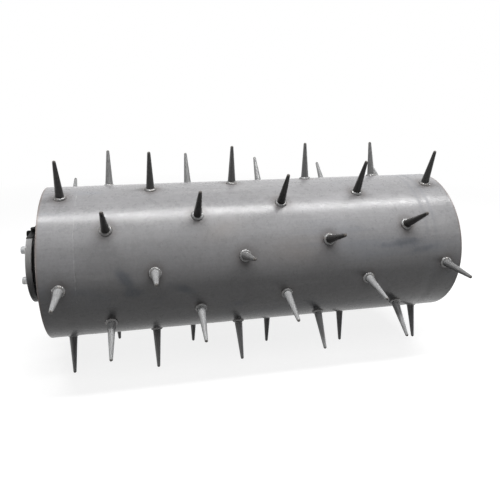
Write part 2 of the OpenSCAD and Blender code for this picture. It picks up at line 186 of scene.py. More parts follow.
def cap_faces(rows, columns):
    """Triangles that close both ends of a tube, as fans round two extra corners."""
    j = np.arange(columns)
    after = (j + 1) % columns
    last = (rows - 1) * columns
    centre = np.full(columns, rows * columns)
    first_fan = np.stack([after, j, centre], -1)
    last_fan = np.stack([last + j, last + after, centre + 1], -1)
    v = np.repeat([0.0, 1.0], columns)
    round_share = np.tile(j / columns, 2)
    places = np.stack([round_share, v], -1)[:, None, :].repeat(3, 1)
    return np.concatenate([first_fan, last_fan]), places


print("a tube of 3 rows and 4 columns has", len(grid_faces(3, 4, ring=False)[0]), "quads")


# %% From a grid to an object
def volume_of(corners, triangles):
    """Signed volume: a sixth of the sum of a . (b x c) over the triangles. It is negative when the
    faces point inwards."""
    a, b, c = (corners[triangles[:, k]] for k in range(3))
    return float(np.einsum("ij,ij->", a, np.cross(b, c))) / 6


def carry(piece, name, values):
    """Stores one value per corner on a piece, for its material to read."""
    attribute = piece.data.attributes.new(name, "FLOAT", "POINT")
    attribute.data.foreach_set("value", values.astype(np.float32).ravel())


def add_surface(name, points, ring=False, smooth_angle=40):
    """Makes one object of several closed surfaces. points has the shape (copies, rows, columns, 3).
    Each copy's UV map is moved one unit along u, so that no two copies look the same."""
    copies, rows, columns, _ = points.shape
    quads, quad_uv = grid_faces(rows, columns, ring)
    corners = points.reshape(copies, rows * columns, 3)
    triangles = np.concatenate([quads[:, [0, 1, 2]], quads[:, [0, 2, 3]]])
    fans, fan_uv = np.empty((0, 3), int), np.empty((0, 3, 2))
    if not ring:
        ends = np.stack([points[:, 0].mean(1), points[:, -1].mean(1)], 1)
        corners = np.concatenate([corners, ends], 1)
        fans, fan_uv = cap_faces(rows, columns)
        triangles = np.concatenate([triangles, fans])
    volume = volume_of(corners[0], triangles)
    if volume < 0:
        quads, quad_uv = quads[:, ::-1], quad_uv[:, ::-1]
        fans, fan_uv = fans[:, ::-1], fan_uv[:, ::-1]
    stride = corners.shape[1]
    faces, places = [], []
    for copy in range(copies):
        faces += (quads + copy * stride).tolist() + (fans + copy * stride).tolist()
        moved = np.array([copy, 0.0])
        places += [(quad_uv + moved).reshape(-1, 2), (fan_uv + moved).reshape(-1, 2)]
    mesh = bpy.data.meshes.new(name)
    mesh.from_pydata(corners.reshape(-1, 3).tolist(), [], faces)
    uv_map = mesh.uv_layers.new(name="surface")
    uv_map.data.foreach_set("uv", np.concatenate(places).ravel())
    mesh.polygons.foreach_set("use_smooth", np.ones(len(faces), bool))
    mesh.set_sharp_from_angle(angle=math.radians(smooth_angle))
    mesh.update()
    count = copies * len(triangles)
    print(f"{name}: {copies} closed, the first of {abs(volume) * 1e6:.2f} cm3, {count} triangles")
    return add_object(name, mesh)


# %% Waves that join up after a full turn
def waves(angle, counts, seed):
    """A sum of sines with whole numbers of waves round the circle, of random size and phase, scaled
    so that it stays between -1 and 1."""
    random = np.random.default_rng(seed)
    sizes = random.uniform(0.5, 1, len(counts))
    phases = random.uniform(0, 2 * np.pi, len(counts))
    total = sum(s * np.sin(n * angle + p) for s, n, p in zip(sizes, counts, phases))
    return total / sizes.sum()


def away(angle, centre):
    """The difference of two angles, wrapped to lie between minus half a turn and half a turn."""
    return (angle - centre + np.pi) % (2 * np.pi) - np.pi


def hill(distance, width):
    """A smooth hill of height 1: e to the power of minus half the squared distance over the width."""
    return np.exp(-0.5 * (distance / width) ** 2)


print("waves at 0:", waves(np.zeros(1), (3, 5, 9), seed=1).round(3))

# %% [markdown]
# ## The drum shell
# The real shell is a steel pipe rolled from sheet. It is never a perfect cylinder: rolling leaves
# shallow waves, and each weld pulls the metal in a little as it cools. On satin steel these show only
# where the highlight bends, so a bump map could fake them, but real dents also hold in the mesh itself.
# Over the left bulkhead a fine seam runs round the shell and wobbles as a hand-led weld does.
# Over the right one the heat of the weld left two soft stripes, whose colour is darkest where they
# cross the highlight, partly as painted shade.

# %% Sizes of the shell's marks
SHELL_COLUMNS = 320
BORE_ROWS = 10
EVEN_STEP = 5 * MM              # rows along the shell
END_GAP = 4 * MM                # the last row's least distance from the end
EDGE = 0.8 * MM                 # the broken edge at each end
WAVE_DEPTH = 0.12 * MM
SPIKE_PULL = 0.5 * MM           # how far a spike's weld pulls the shell in
SPIKE_PULL_WIDTH = 14 * MM
BAND_PULL = 0.55 * MM           # how far a bulkhead's weld pulls it in
BAND_WIDTH = 9 * MM
BAND_TOP = math.radians(70)     # where the right stripes are strongest
STRIPE_WIDTH = 3 * MM
BAND_STEP = 2 * MM
BAND_REACH = 8 * MM             # finer rows go this far past the stripes
SEAM_DEPTH = 0.35 * MM
SEAM_WIDTH = 0.7 * MM
SEAM_WOBBLE = 1.6 * MM
SEAM_ROWS = 15
SEAM_REACH = 3.5 * MM
bulkhead_low, bulkhead_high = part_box("right_bulkhead")
bulkhead_x = (bulkhead_low.x + bulkhead_high.x) / 2
seam_x = 2 * MM - bulkhead_x
stripe_x = (bulkhead_x - 13 * MM, bulkhead_x + 6 * MM)
print(f"bulkheads {bulkhead_x:.4f} from the middle, seam at {seam_x:.4f}")

# %% Stains, placed one by one
# Each row: place in mm, turn in degrees, half length and width in mm, slant in degrees, strength.
DARK_STAINS = (
    (-283, 4, 19, 9, -60, 1.0),
    (-270, -7, 15, 8, 10, 0.9),
    (-168, -7, 22, 8, -25, 0.9),
    (-215, -12, 16, 9, 40, 0.5),
    (305, 17, 46, 7, 4, 0.7),
    (350, 11, 34, 6, 8, 0.6),
    (-60, -24, 30, 10, 15, 0.6),
    (90, 150, 40, 14, 30, 0.7),
    (-250, 200, 30, 16, -20, 0.7),
    (220, 255, 34, 12, 25, 0.8),
    (-330, 120, 20, 9, 40, 0.6),
)
BROWN_STAINS = (
    (70, 16, 55, 20, 0, 1.0),
    (-90, 34, 30, 14, 20, 0.8),
    (300, 190, 40, 20, 10, 1.0),
    (-200, 140, 36, 22, -15, 1.0),
)
print(len(DARK_STAINS), "dark and", len(BROWN_STAINS), "brown stains")

# %% Dents and marks as functions of the place
def from_spikes(x, turn):
    """Distance along the shell's surface to the nearest spike's axis."""
    nearest = np.full(np.broadcast(x, turn).shape, np.inf)
    for place, angle in zip(spike_x, spike_turn):
        nearest = np.minimum(nearest, np.hypot(x - place, drum_r * away(turn, angle)))
    return nearest


def seam_strength(x, turn, width):
    """A hill across the left seam. Its place wobbles round the drum, and so does its strength."""
    wobble = SEAM_WOBBLE * waves(turn, (1, 3, 7, 17, 31), seed=21)
    strength = np.clip(0.3 + 1.1 * waves(turn, (2, 3, 5, 12, 40), seed=31), 0.2, 1)
    return strength * hill(x - seam_x - wobble, width)


def band_strength(x, turn):
    """Two soft stripes, the edges of the band that the right weld heated. They are strong near the top
    of the drum and fade below it, so that in the colour their dark is partly painted shade across the
    highlight."""
    stripes = sum(hill(x - place - SEAM_WOBBLE * waves(turn, (1, 2, 5), seed), STRIPE_WIDTH)
                  for place, seed in zip(stripe_x, (22, 23)))
    return stripes * (0.2 + 0.8 * hill(away(turn, BAND_TOP), 0.7))


def stain_strength(x, turn, stains):
    """A hill for each stain, longer along one slanted direction than across it."""
    total = 0
    for place, angle, length, width, slant, strength in stains:
        along = x / MM - place
        across = drum_r / MM * away(turn, np.radians(angle))
        lean = math.radians(slant)
        u = along * math.cos(lean) + across * math.sin(lean)
        v = across * math.cos(lean) - along * math.sin(lean)
        total = total + strength * hill(u, length) * hill(v, width)
    return total


def shell_radius(x, turn):
    """Radius of the shell's outside: the drum's radius, less rolling waves, less a hill for each
    spike's weld and each bulkhead's weld, less the seam."""
    rolled = 0.5 + 0.5 * waves(turn, (2, 3, 5, 8), seed=11) * np.cos(7 * x) * np.cos(3 * x + 1)
    dents = WAVE_DEPTH * rolled + SPIKE_PULL * hill(from_spikes(x, turn), SPIKE_PULL_WIDTH)
    for side in (-1, 1):
        band = BAND_PULL * (0.8 + 0.2 * side + 0.3 * waves(turn, (4, 9, 13), seed=24 + side))
        dents = dents + band * hill(x - side * bulkhead_x, BAND_WIDTH)
    return drum_r - dents - SEAM_DEPTH * seam_strength(x, turn, SEAM_WIDTH)


dent = drum_r - shell_radius(spike_x[:1], spike_turn[:1])[0]
print(f"the shell lies {dent / MM:.2f} mm in at the first spike")


# %% The shell's surface
def shell_places():
    """Places along the shell: even rows, and finer rows across the seam and the heated band."""
    even = np.arange(-drum_half + EVEN_STEP, drum_half - END_GAP, EVEN_STEP)
    seam = seam_x + np.linspace(-SEAM_REACH, SEAM_REACH, SEAM_ROWS)
    band = np.arange(stripe_x[0] - BAND_REACH, stripe_x[1] + BAND_REACH, BAND_STEP)
    off_seam = np.abs(even - seam_x) > EVEN_STEP
    off_band = (even < band[0] - BAND_STEP) | (even > band[-1] + BAND_STEP)
    return np.sort(np.concatenate([even[off_seam & off_band], seam, band]))


def add_marks(piece, x, turn, outer):
    """Values at each corner, for the material: closeness to a bead, to the seam, to the stripes and
    to an end, and the strength of the stains. They are 0 inside the bore."""
    marks = {
        "bead_halo": hill(np.maximum(from_spikes(x, turn) - bead_r, 0), 7 * MM),
        "seam_line": seam_strength(x, turn, 0.8 * MM),
        "heat_band": band_strength(x, turn),
        "dark_stain": stain_strength(x, turn, DARK_STAINS),
        "brown_stain": stain_strength(x, turn, BROWN_STAINS),
        "end_edge": hill(drum_half - np.abs(x), 1.2 * MM),
    }
    for name, values in marks.items():
        carry(piece, name, values * outer)


def add_drum_shell():
    """The section goes along the outside, over the broken edge, back along the bore and round."""
    turn = circle(SHELL_COLUMNS)
    outside = shell_places()
    back = np.linspace(drum_half, -drum_half, BORE_ROWS + 2)[1:-1]
    x = np.concatenate([
        [-drum_half + EDGE], outside, [drum_half - EDGE, drum_half],
        [drum_half, drum_half - EDGE], back, [-drum_half + EDGE, -drum_half, -drum_half]])
    bore = np.full(SHELL_COLUMNS, shell_bore_r)
    edge = np.full(SHELL_COLUMNS, drum_r)
    radii = np.concatenate([
        [edge], shell_radius(outside[:, None], turn), [edge, edge - EDGE],
        [bore + EDGE, bore], np.tile(bore, (BORE_ROWS, 1)), [bore, bore + EDGE, edge - EDGE]])
    points = np.stack([np.broadcast_to(x[:, None], radii.shape), -radii * np.cos(turn),
                       radii * np.sin(turn)], -1)
    piece = add_surface("rolled_shell", points[None], ring=True)
    add_marks(piece, x[:, None], turn, radii > (drum_r + shell_bore_r) / 2)
    return piece


shell = add_drum_shell()
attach(shell, "drum")
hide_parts("drum_shell")

# %% [markdown]
# ## The spikes
# Each spike is a bar turned to a cone, with a rounded tip and a short shank pressed into the shell.
# A cone primitive would do at a distance, but a turned profile lets us add the soft dome, the tiny
# flat left by the parting tool and the slight swell at the foot. One profile is turned fifty times.
# The bars that stand up are nearly black in the photograph, and those that point at the viewer are
# bright. So every bar carries painted light and shade in its colour for the material, set by where it
# points at rest.

# %% Sizes and tones of the spikes
SPIKE_COLUMNS = 32
TIP_R = 3.7 * MM
FLAT_R = 0.25 * MM
SWELL = 0.25 * MM
SWELL_HEIGHT = 6 * MM
FOOT_SINK = 0.6 * MM        # the foot reaches this far into the shell, and the shank right through
SHANK_SHARE = 2 / 3         # the shank's radius as a share of the foot's
# Where the painted shade on the bars lies, in degrees round the drum.
DARK_TURN = 50              # degrees, where the bars are darkest
DARK_BACK = 56              # degrees, how slowly the dark fades towards the back
DARK_EDGE = 13              # degrees, where the dark ends towards the front
DARK_EDGE_SLOPE = -35       # degrees per metre along the axle
DARK_EDGE_WIDTH = 3         # degrees


def stand_up(a, b, height, x, turn):
    """Places points given by two offsets across a spike and a height above the axle. Offset a runs
    along the axle, b runs round the drum and the height runs along the spike."""
    shape = (-1,) + (1,) * a.ndim
    turn = np.reshape(turn, shape)
    y = b * np.sin(turn) - height * np.cos(turn)
    z = b * np.cos(turn) + height * np.sin(turn)
    return np.stack([a + np.reshape(x, shape), y, z], -1)


def spike_profile():
    """Height above the shell and radius: a shank, a straight cone with a swollen foot, then a quarter
    of a flattened circle that ends in a small flat."""
    cone_h = spike_h - TIP_R
    share = np.linspace(0, 1, 15)
    cone = np.stack([share * cone_h, foot_r + (TIP_R - foot_r) * share], -1)
    swell = SWELL * hill(cone[:, 0], SWELL_HEIGHT)
    cone[:, 1] -= swell.max() - swell
    bend = np.linspace(0, np.pi / 2, 8)[1:]
    dome = np.stack([cone_h + TIP_R * np.sin(bend), cone[-1, 1] * np.cos(bend) ** 0.8], -1)
    dome[-1, 1] = FLAT_R
    shank_r = foot_r * SHANK_SHARE
    root = [[shell_bore_r - drum_r, shank_r], [-FOOT_SINK, shank_r], [-FOOT_SINK, foot_r]]
    return np.concatenate([root, cone, dome])


def bar_painted_light(x, turn):
    """How much painted light a bar's colour gets, from 0 to 1: bars that stand up at rest get painted
    shade. Forwards the dark ends at a soft step, which lies lower towards the right, and backwards it
    fades as half a hill does."""
    edge = DARK_EDGE + DARK_EDGE_SLOPE * x
    beyond = np.degrees(away(turn, np.radians(DARK_TURN)))
    front = 1 / (1 + np.exp((edge - DARK_TURN - beyond) / DARK_EDGE_WIDTH))
    return 1 - np.where(beyond > 0, hill(beyond, DARK_BACK), front)


# %% Turned spikes
def add_spikes():
    """The profile turned about each spike's own axis, one object for each ring of five."""
    height, radius = spike_profile().T
    around = circle(SPIKE_COLUMNS)
    a = radius[:, None] * np.cos(around)
    b = radius[:, None] * np.sin(around)
    h = np.broadcast_to((drum_r + height)[:, None], a.shape)
    made = []
    for number, replaced in enumerate(ring_names):
        ring = slice(number * SPIKES, (number + 1) * SPIKES)
        points = stand_up(a, b, h, spike_x[ring], spike_turn[ring])
        piece = add_surface(f"turned_spikes_{number + 1:02d}", points)
        corners = len(piece.data.vertices) // SPIKES
        # Each bar's painted light and shade goes to all its corners.
        carry(piece, "bar_painted_light", np.repeat(bar_painted_light(spike_x[ring], spike_turn[ring]), corners))
        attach(piece, "drum")
        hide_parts(replaced)
        made.append(piece)
    return made


spikes = add_spikes()

# %% [markdown]
# ## Weld beads at the spikes
# A bead is laid in one go round each foot, so it shows a row of ripples and a lump where it starts
# and stops. A torus is too even for that. Here the section is a rounded fillet whose height and width
# change with the angle round the spike, and every bead has its own random waves.

# %% Sizes of the spike beads
BEAD_COLUMNS = 60
BEAD_ROWS = 9
BEAD_RIPPLES = 17
BEAD_SWELL = 0.45 * MM
BEAD_SINK = 0.5 * MM        # the bead's face reaches this far into the spike
BEAD_ROOT = 1.2 * MM        # and its inner rows this much further
PULL_AT_BEAD = 0.7          # share of the shell's dent that is left at the bead


def bead_points(number, around, corner):
    """A fillet carried round the foot. Its face runs from the toe on the round shell up to the spike
    as a flattened quarter of an ellipse, which each ripple swells a little in the middle. Three rows
    inside the metal close the section."""
    random = np.random.default_rng(100 + number)
    start = random.uniform(0, 2 * np.pi)
    ripple = 0.5 + 0.5 * np.cos(BEAD_RIPPLES * around + 1.2 * waves(around, (2, 3), seed=number))
    lump = hill(away(around, start), 0.35)
    uneven = waves(around, (1, 2, 4), seed=200 + number)
    crown = bead_h * (0.86 + 0.10 * uneven + 0.12 * lump)
    spreading = waves(around, (2, 3, 5), seed=300 + number)
    width = (bead_r - foot_r) * (0.92 + 0.08 * spreading + 0.1 * lump)
    swell = BEAD_SWELL * (0.4 + 0.6 * ripple) * np.sin(2 * corner)[:, None]
    reach = foot_r - BEAD_SINK + (width + BEAD_SINK) * (np.cos(corner) ** 1.3)[:, None] + swell
    rise = crown * (np.sin(corner) ** 1.3)[:, None] + swell
    under = np.full_like(around, -BEAD_ROOT)
    reach = np.concatenate([reach, [reach[-1] - BEAD_ROOT, reach[-1] - BEAD_ROOT, reach[0]]])
    rise = np.concatenate([rise, [rise[-1] - BEAD_ROOT, under, under]])
    a, b = reach * np.cos(around), reach * np.sin(around)
    height = np.sqrt(drum_r ** 2 - b ** 2) - SPIKE_PULL * PULL_AT_BEAD + rise
    return stand_up(a, b, height, spike_x[number], spike_turn[number])


# %% Spike beads
def add_spike_beads():
    """All fifty beads as one object of fifty closed rings."""
    around = circle(BEAD_COLUMNS)
    corner = np.linspace(0, np.pi / 2, BEAD_ROWS)
    beads = [bead_points(number, around, corner) for number in range(RINGS * SPIKES)]
    return add_surface("spike_weld_beads", np.concatenate(beads), ring=True, smooth_angle=70)


beads = add_spike_beads()
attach(beads, "drum")
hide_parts("spike_welds")

# %% [markdown]
# ## Fillet welds inside the ends
# The bulkhead is welded to the shell and to the bearing hub. A bevel between the two would be
# smooth, so each weld is a ring of its own: its section is a quarter round that leans on both faces,
# with about one ripple every 4 mm.

# %% Bulkhead fillets
FILLET_COLUMNS = 240
RIPPLE_PITCH = 4.2 * MM
RIM_LEG = 5.6 * MM          # a little under the CAD fillets' legs, because the ripples add to it
HUB_LEG = 4.6 * MM


def fillet_points(side, corner_r, inwards, leg, seed):
    """A section between the bulkhead's face and a round wall. It runs along both legs and bulges
    between them, and the bulge carries the ripples."""
    turn = circle(FILLET_COLUMNS)
    ripples = round(2 * np.pi * corner_r / RIPPLE_PITCH)
    size = leg * (0.93 + 0.05 * waves(turn, (3, 7, 19), seed) - 0.05 * np.cos(ripples * turn))
    bend = np.linspace(0, np.pi / 2, 6)[:, None]
    along = np.concatenate([[[-0.6 * MM / leg]], 1.05 * np.sin(bend) ** 1.2])
    across = np.concatenate([[[-0.3 * MM / leg]], 1.05 * np.cos(bend) ** 1.2])
    radius = corner_r + (-1 if inwards else 1) * across * size
    x = side * (bulkhead_high.x + np.clip(along * size, -0.4 * MM, None))
    return np.stack([x, -radius * np.cos(turn), radius * np.sin(turn)], -1)[None]


def add_fillets(name, side, seed):
    """The rim fillet and the hub fillet of one bulkhead as one object."""
    hub_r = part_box(f"{name}_bearing_hub")[1].z
    rim = fillet_points(side, shell_bore_r, True, RIM_LEG, seed)
    hub = fillet_points(side, hub_r, False, HUB_LEG, seed + 1)
    points = np.concatenate([rim, hub])
    piece = add_surface(f"{name}_fillet_welds", points, ring=True, smooth_angle=70)
    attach(piece, "drum")
    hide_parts(f"{name}_bulkhead_welds")
    return piece


fillets = [add_fillets("left", -1, 31), add_fillets("right", 1, 35)]

# %% [markdown]
# ## Flange screws
# Six socket head screws hold each mounting flange. A bought screw has a knurled head and a hexagon
# socket. Cutting the socket with a boolean would leave uneven faces. Both fit one turned profile if
# the radius may change with the angle: the knurl is a row of small ridges, and inside the socket the
# radius follows a hexagon.

# %% Sizes of the screws
SCREW_COUNT = 6
THREAD_R = 5 * MM
SOCKET_FLATS = 8 * MM
KNURLS = 32
KNURL_DEPTH = 0.35 * MM


def hexagon(angle, flats):
    """Polar radius of a hexagon: half its width across flats over the cosine of the angle from the
    middle of the nearest side."""
    nearest = (angle + np.pi / 6) % (np.pi / 3) - np.pi / 6
    return flats / 2 / np.cos(nearest)


def screw_rows(name, side, head_r, angle):
    """Places along a screw and radii at each angle, from the thread's end to the head and down into
    the socket. Each row steps outwards, in mm, from the thread's end, the seat or the outer face."""
    along = corner_array(nodes[f"{name}_flange_screws"])[:, 0]
    end = along[np.abs(along).argmin()]
    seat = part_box(f"{name}_lock_washers")[0 if side < 0 else 1].x
    face = along[np.abs(along).argmax()]
    ridge = np.abs((angle * KNURLS / (2 * np.pi)) % 1 - 0.5) * 2
    knurl = head_r - KNURL_DEPTH * ridge
    socket = hexagon(angle, SOCKET_FLATS)
    rows = (
        (end, 0.8, THREAD_R - 0.8 * MM),
        (end, 1.8, THREAD_R),
        (seat, 0, THREAD_R),
        (seat, 0, head_r - 0.5 * MM),
        (seat, 0.5, head_r - 0.1 * MM),
        (seat, 1.0, knurl),
        (face, -2.4, knurl),
        (face, -1.9, head_r - 0.35 * MM),
        (face, -0.7, head_r - 0.45 * MM),
        (face, -0.1, head_r - 1.2 * MM),
        (face, 0, head_r - 1.6 * MM),
        (face, 0, socket + 0.5 * MM),
        (face, -0.5, socket),
        (face, -5, socket),
        (face, -6, 2 * MM),
    )
    places = np.array([start + side * step * MM for start, step, _ in rows])
    return places, np.stack([np.broadcast_to(radius, angle.shape) for _, _, radius in rows])


# %% Socket head screws
def add_screws(name, side):
    """The same screw at six places, each turned by its own amount, as hand-tightened screws are."""
    points = corner_array(nodes[f"{name}_flange_screws"])
    reach = axle_distance(points)
    circle_r = (reach.max() + reach.min()) / 2
    head_r = (reach.max() - reach.min()) / 2
    angle = circle(KNURLS * 3)
    places, radii = screw_rows(name, side, head_r, angle)
    x = np.broadcast_to(places[:, None], radii.shape)
    copies = []
    for number, place in enumerate(start_turn(points, SCREW_COUNT) + circle(SCREW_COUNT)):
        spin = angle + 0.7 * number + 0.3 * side
        y = radii * np.cos(spin) - circle_r * np.cos(place)
        z = radii * np.sin(spin) + circle_r * np.sin(place)
        copies.append(np.stack([x, y, z], -1))
    piece = add_surface(f"{name}_socket_screws", np.stack(copies), smooth_angle=30)
    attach(piece, "fixed_axle")
    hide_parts(f"{name}_flange_screws")
    return piece


screws = [add_screws("left", -1), add_screws("right", 1)]

# %% [markdown]
# ## Shader helpers
# A procedural material is a small program of nodes. Writing one node takes several lines, so these
# helpers make a node, fill its inputs and hand back the socket that the next node needs. Patterns
# read Object coordinates, which are metres in the object's own frame, so they stay put as it turns.

# %% A node and a material
def make(tree, kind, inputs=(), **settings):
    """Adds a node of a kind, changes its settings, and links or fills the inputs given in pairs."""
    node = tree.nodes.new("ShaderNode" + kind)
    for key, value in settings.items():
        setattr(node, key, value)
    for key, value in dict(inputs).items():
        if isinstance(value, bpy.types.NodeSocket):
            tree.links.new(value, node.inputs[key])
        else:
            node.inputs[key].default_value = value
    return node


def new_material(name, metallic, specular=0.5):
    """A material with a Principled shader. What is the same all over goes on the shader's sockets."""
    material = bpy.data.materials.new(name)
    material.use_nodes = True
    tree = material.node_tree
    shader = tree.nodes["Principled BSDF"]
    shader.inputs["Metallic"].default_value = metallic
    shader.inputs["Specular IOR Level"].default_value = specular
    return material, tree, shader


def link_surface(tree, shader, colour, roughness):
    """Links the two patterns that change over the surface."""
    tree.links.new(colour, shader.inputs["Base Color"])
    tree.links.new(roughness, shader.inputs["Roughness"])


# %% Places and patterns
def object_place(tree, stretch=(1, 1, 1)):
    """Object coordinates, squeezed or stretched along the axes."""
    place = make(tree, "TexCoord").outputs["Object"]
    if stretch == (1, 1, 1):
        return place
    return make(tree, "Mapping", {"Vector": place, "Scale": stretch}).outputs["Vector"]


def uv_place(tree, stretch):
    """The piece's own UV map: share of the way round, then share of the way along."""
    place = make(tree, "UVMap", uv_map="surface").outputs["UV"]
    return make(tree, "Mapping", {"Vector": place, "Scale": stretch}).outputs["Vector"]


def uv_along(tree):
    """Share of the way along a piece, the second value of its UV map."""
    return make(tree, "SeparateXYZ", {0: uv_place(tree, (1, 1, 1))}).outputs["Y"]


def noise(tree, place, scale, detail=3.0, rough=0.55, distortion=0.0):
    """Smooth random values from 0 to 1, about 1 / scale metres apart."""
    inputs = {"Vector": place, "Scale": scale, "Detail": detail, "Roughness": rough,
              "Distortion": distortion}
    return make(tree, "TexNoise", inputs).outputs["Fac"]


def spread(tree, value, low, high, to_low=0.0, to_high=1.0):
    """Maps low..high to to_low..to_high and clamps."""
    inputs = {"Value": value, "From Min": low, "From Max": high, "To Min": to_low, "To Max": to_high}
    return make(tree, "MapRange", inputs, clamp=True).outputs["Result"]


def arithmetic(tree, operation, a, b=0.0):
    """One sum on values or sockets, named as the Math node names it."""
    return make(tree, "Math", {0: a, 1: b}, operation=operation).outputs[0]


def blend(tree, share, first, second):
    """Mixes two colours. The colour sockets of a Mix node have the numbers 6 and 7."""
    return make(tree, "Mix", {0: share, 6: first, 7: second}, data_type="RGBA").outputs[2]


def layered(tree, colour, *layers):
    """Lays colours over one another. Each layer is a share, or a pattern of shares, and a colour."""
    for share, top in layers:
        colour = blend(tree, share, colour, top)
    return colour


def grey(level, warm=0.0):
    """A colour of one brightness. warm above 0 leans to brown and below 0 to blue."""
    return (level * (1 + warm), level, level * (1 - warm), 1)


def bump(tree, shader, height, depth, strength=1.0):
    """Tilts the shader's normal as if the surface rose by height times depth, in metres. A second
    bump is added to the first."""
    inputs = {"Height": height, "Distance": depth, "Strength": strength}
    if shader.inputs["Normal"].is_linked:
        inputs["Normal"] = shader.inputs["Normal"].links[0].from_socket
    out = make(tree, "Bump", inputs).outputs["Normal"]
    tree.links.new(out, shader.inputs["Normal"])


# %% Marks and painting
def mark(tree, name, share=1.0):
    """One of the values that a piece's corners carry, times a share."""
    value = make(tree, "Attribute", attribute_name=name).outputs["Fac"]
    return arithmetic(tree, "MULTIPLY", value, share)


def paint(pieces, material):
    """Gives the pieces one material. A CAD node keeps its mesh and only changes its slots."""
    for piece in pieces:
        piece.data.materials.clear()
        piece.data.materials.append(material)
    print(f"{material.name}: {len(pieces)} pieces, {len(material.node_tree.nodes)} nodes")


print("a warm grey:", grey(0.3, 0.1))

# %% [markdown]
# ## Finish of the drum
# The shell is satin sheet steel. Up close it has a fine grain, soft patches where it was handled, faint
# lines and wiped streaks along it, stains, pits, and dark marks where the welds heated it, which carry
# painted shade round the foot of each bead and where the right stripes cross the highlight. A scan of
# real steel could be laid on as a picture, but noise never repeats and follows any shape.
# Each effect is small on its own. Together they stop it from looking like plastic.

# %% Colours of the drum
STEEL_DARK = (0.263, 0.259, 0.267, 1)
STEEL_LIGHT = (0.328, 0.323, 0.336, 1)
STREAK_DARK = (0.20, 0.215, 0.245, 1)
STREAK_LIGHT = (0.40, 0.396, 0.396, 1)
STAIN_BLUE = (0.115, 0.125, 0.145, 1)
STAIN_BROWN = (0.27, 0.225, 0.19, 1)
# The halo colour is a heat tint with painted shade round the foot of each bead, and the heat colour is
# a tint with painted shade where the right stripes cross the highlight.
HALO_HEAT_AND_SHADE = (0.13, 0.118, 0.115, 1)
HEAT_AND_SHADE_BLUE = (0.17, 0.175, 0.19, 1)
RUST = (0.17, 0.10, 0.07, 1)


def clean_colour(tree, place, clouds, mottle):
    """Two greys in clouds, then darker patches, flecks and drawn lines, then wiped streaks."""
    flecks = noise(tree, place, 210.0, rough=0.7)
    drawn = noise(tree, object_place(tree, (7, 330, 330)), 1.0, rough=0.6)
    wiped = noise(tree, object_place(tree, (2.6, 17, 17)), 1.0, 4.0, 0.6, 0.4)
    return layered(
        tree, STEEL_DARK,
        (spread(tree, clouds, 0.3, 0.7), STEEL_LIGHT),
        (spread(tree, mottle, 0.30, 0.66, 0.30, 0.0), grey(0.19)),
        (spread(tree, flecks, 0.34, 0.60, 0.38, 0.0), grey(0.15)),
        (spread(tree, drawn, 0.3, 0.7, 0.4, 0.0), grey(0.20)),
        (spread(tree, wiped, 0.56, 0.70, 0.0, 0.40), STREAK_DARK),
        (spread(tree, wiped, 0.28, 0.44, 0.45, 0.0), STREAK_LIGHT))


def marked_colour(tree, place, mottle, colour):
    """Stains, marks of heat with painted shade round the beads and across the highlight, the bright
    seam, rusty ends and pits, laid over the colour in turn.
    """
    ragged = spread(tree, mottle, 0.25, 0.75, -0.3, 0.3)
    smear = arithmetic(tree, "ADD", mark(tree, "dark_stain"), ragged)
    heat_and_shade = spread(tree, mottle, 0.3, 0.6, 0.3, 0.8)
    glints = spread(tree, noise(tree, place, 160.0, 2.0), 0.45, 0.68, 0.0, 0.6)
    pits = spread(tree, noise(tree, place, 330.0, 1.0), 0.76, 0.82, 0.0, 0.4)
    return layered(
        tree, colour,
        (spread(tree, smear, 0.25, 0.8, 0.0, 0.78), STAIN_BLUE),
        (mark(tree, "brown_stain", 0.22), STAIN_BROWN),
        # Heat tint with painted shade round each bead's foot, then the heat stripes, whose dark is
        # partly painted shade across the highlight.
        (mark(tree, "bead_halo", heat_and_shade), HALO_HEAT_AND_SHADE),
        (mark(tree, "heat_band", 0.45), HEAT_AND_SHADE_BLUE),
        (mark(tree, "seam_line", glints), grey(0.6)),
        (mark(tree, "end_edge", 0.6), RUST),
        (pits, grey(0.12)))


# %% Satin drum steel
def drum_steel():
    """The colours above, a roughness that is higher on the heat marks, and two bumps."""
    material, tree, shader = new_material("drum_steel", metallic=0.03, specular=0.36)
    place = object_place(tree)
    clouds = noise(tree, place, 5.0, 4.0, 0.6)
    mottle = noise(tree, place, 62.0, 4.0, 0.65)
    grain = noise(tree, place, 330.0, rough=0.65)
    colour = marked_colour(tree, place, mottle, clean_colour(tree, place, clouds, mottle))
    satin = arithmetic(tree, "ADD", spread(tree, mottle, 0.3, 0.7, 0.24, 0.34),
                       spread(tree, clouds, 0.3, 0.7, -0.02, 0.02))
    satin = arithmetic(tree, "ADD", satin, mark(tree, "heat_band", 0.12))
    link_surface(tree, shader, colour, satin)
    bump(tree, shader, grain, 0.16 * MM, 0.5)
    bump(tree, shader, mottle, 0.4 * MM, 0.22)
    return material


paint([shell], drum_steel())

# %% [markdown]
# ## Finishes of the spikes and welds
# Drawing the bar leaves faint lines along each spike, and its tip is worn dark. Object coordinates
# can't follow fifty directions, so this pattern reads the UV map that the spikes were made with. The
# beads shine on dull grey, a little browned by heat, and their toes are painted nearly black as the
# shade in the crease where they meet the shell.

